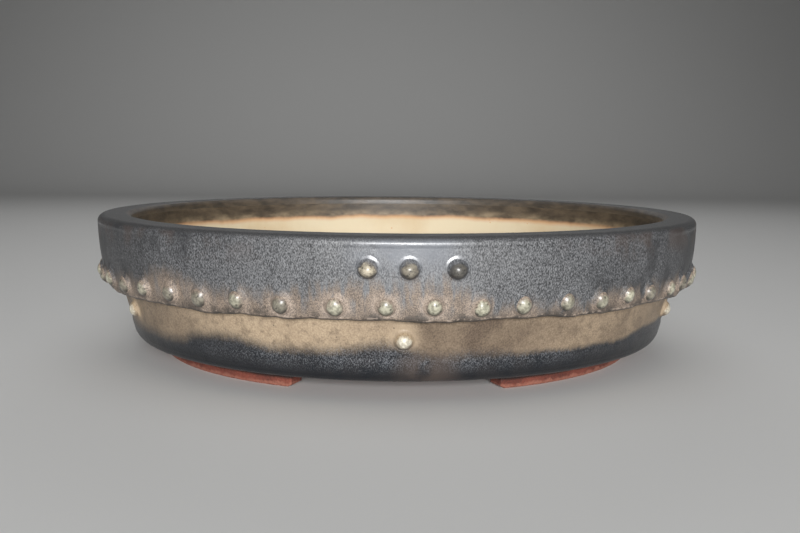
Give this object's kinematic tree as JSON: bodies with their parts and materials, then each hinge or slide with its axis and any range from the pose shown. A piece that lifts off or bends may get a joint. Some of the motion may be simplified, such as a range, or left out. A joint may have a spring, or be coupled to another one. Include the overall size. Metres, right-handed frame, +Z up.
{
  "type": "drum bonsai pot",
  "caption": "Shallow round stoneware bonsai pot shaped like a studded drum, with an overhanging glazed band, rivets, a drained bowl and low arc feet.",
  "frame": {"origin": "on the ground, under the middle of the pot", "axes": "+Z up along the pot's axis, -Y towards the front, where one trio of rivets sits"},
  "size_m": [0.2803, 0.2826, 0.063],
  "materials": {
    "bowl_glaze": "tan satin glaze running into black below, bare cream clay inside",
    "band_glaze": "gunmetal satin glaze with fine pale mottling, bronze along the rivet row",
    "stud_glaze": "pale cream glaze, broken over dark specks",
    "trio_glaze": "bronze grey satin glaze",
    "bare_clay": "unglazed fired clay, worn on the ground edges"
  },
  "bodies": {
    "root": {"bowl": "bowl_glaze", "drum_band": "band_glaze", "foot_front_right": "bare_clay", "foot_back": "bare_clay", "foot_front_left": "bare_clay", "trio_rivet_1": "trio_glaze", "trio_rivet_2": "trio_glaze", "trio_rivet_3": "trio_glaze", "trio_rivet_4": "trio_glaze", "trio_rivet_5": "trio_glaze", "trio_rivet_6": "trio_glaze", "trio_rivet_7": "trio_glaze", "trio_rivet_8": "trio_glaze", "trio_rivet_9": "trio_glaze", "lower_rivet_1": "stud_glaze", "lower_rivet_2": "stud_glaze", "lower_rivet_3": "stud_glaze", "lower_rivet_4": "stud_glaze", "lower_rivet_5": "stud_glaze", "lower_rivet_6": "stud_glaze", "row_rivets_1": "stud_glaze", "row_rivets_2": "stud_glaze", "row_rivets_3": "stud_glaze", "row_rivets_4": "stud_glaze", "row_rivets_5": "stud_glaze", "row_rivets_6": "stud_glaze", "row_rivets_7": "stud_glaze", "row_rivets_8": "stud_glaze", "row_rivets_9": "stud_glaze", "row_rivets_10": "stud_glaze", "row_rivets_11": "stud_glaze", "row_rivets_12": "stud_glaze", "row_rivets_13": "stud_glaze", "row_rivets_14": "stud_glaze", "row_rivets_15": "stud_glaze", "row_rivets_16": "stud_glaze", "row_rivets_17": "stud_glaze"}
  },
  "joints": []
}
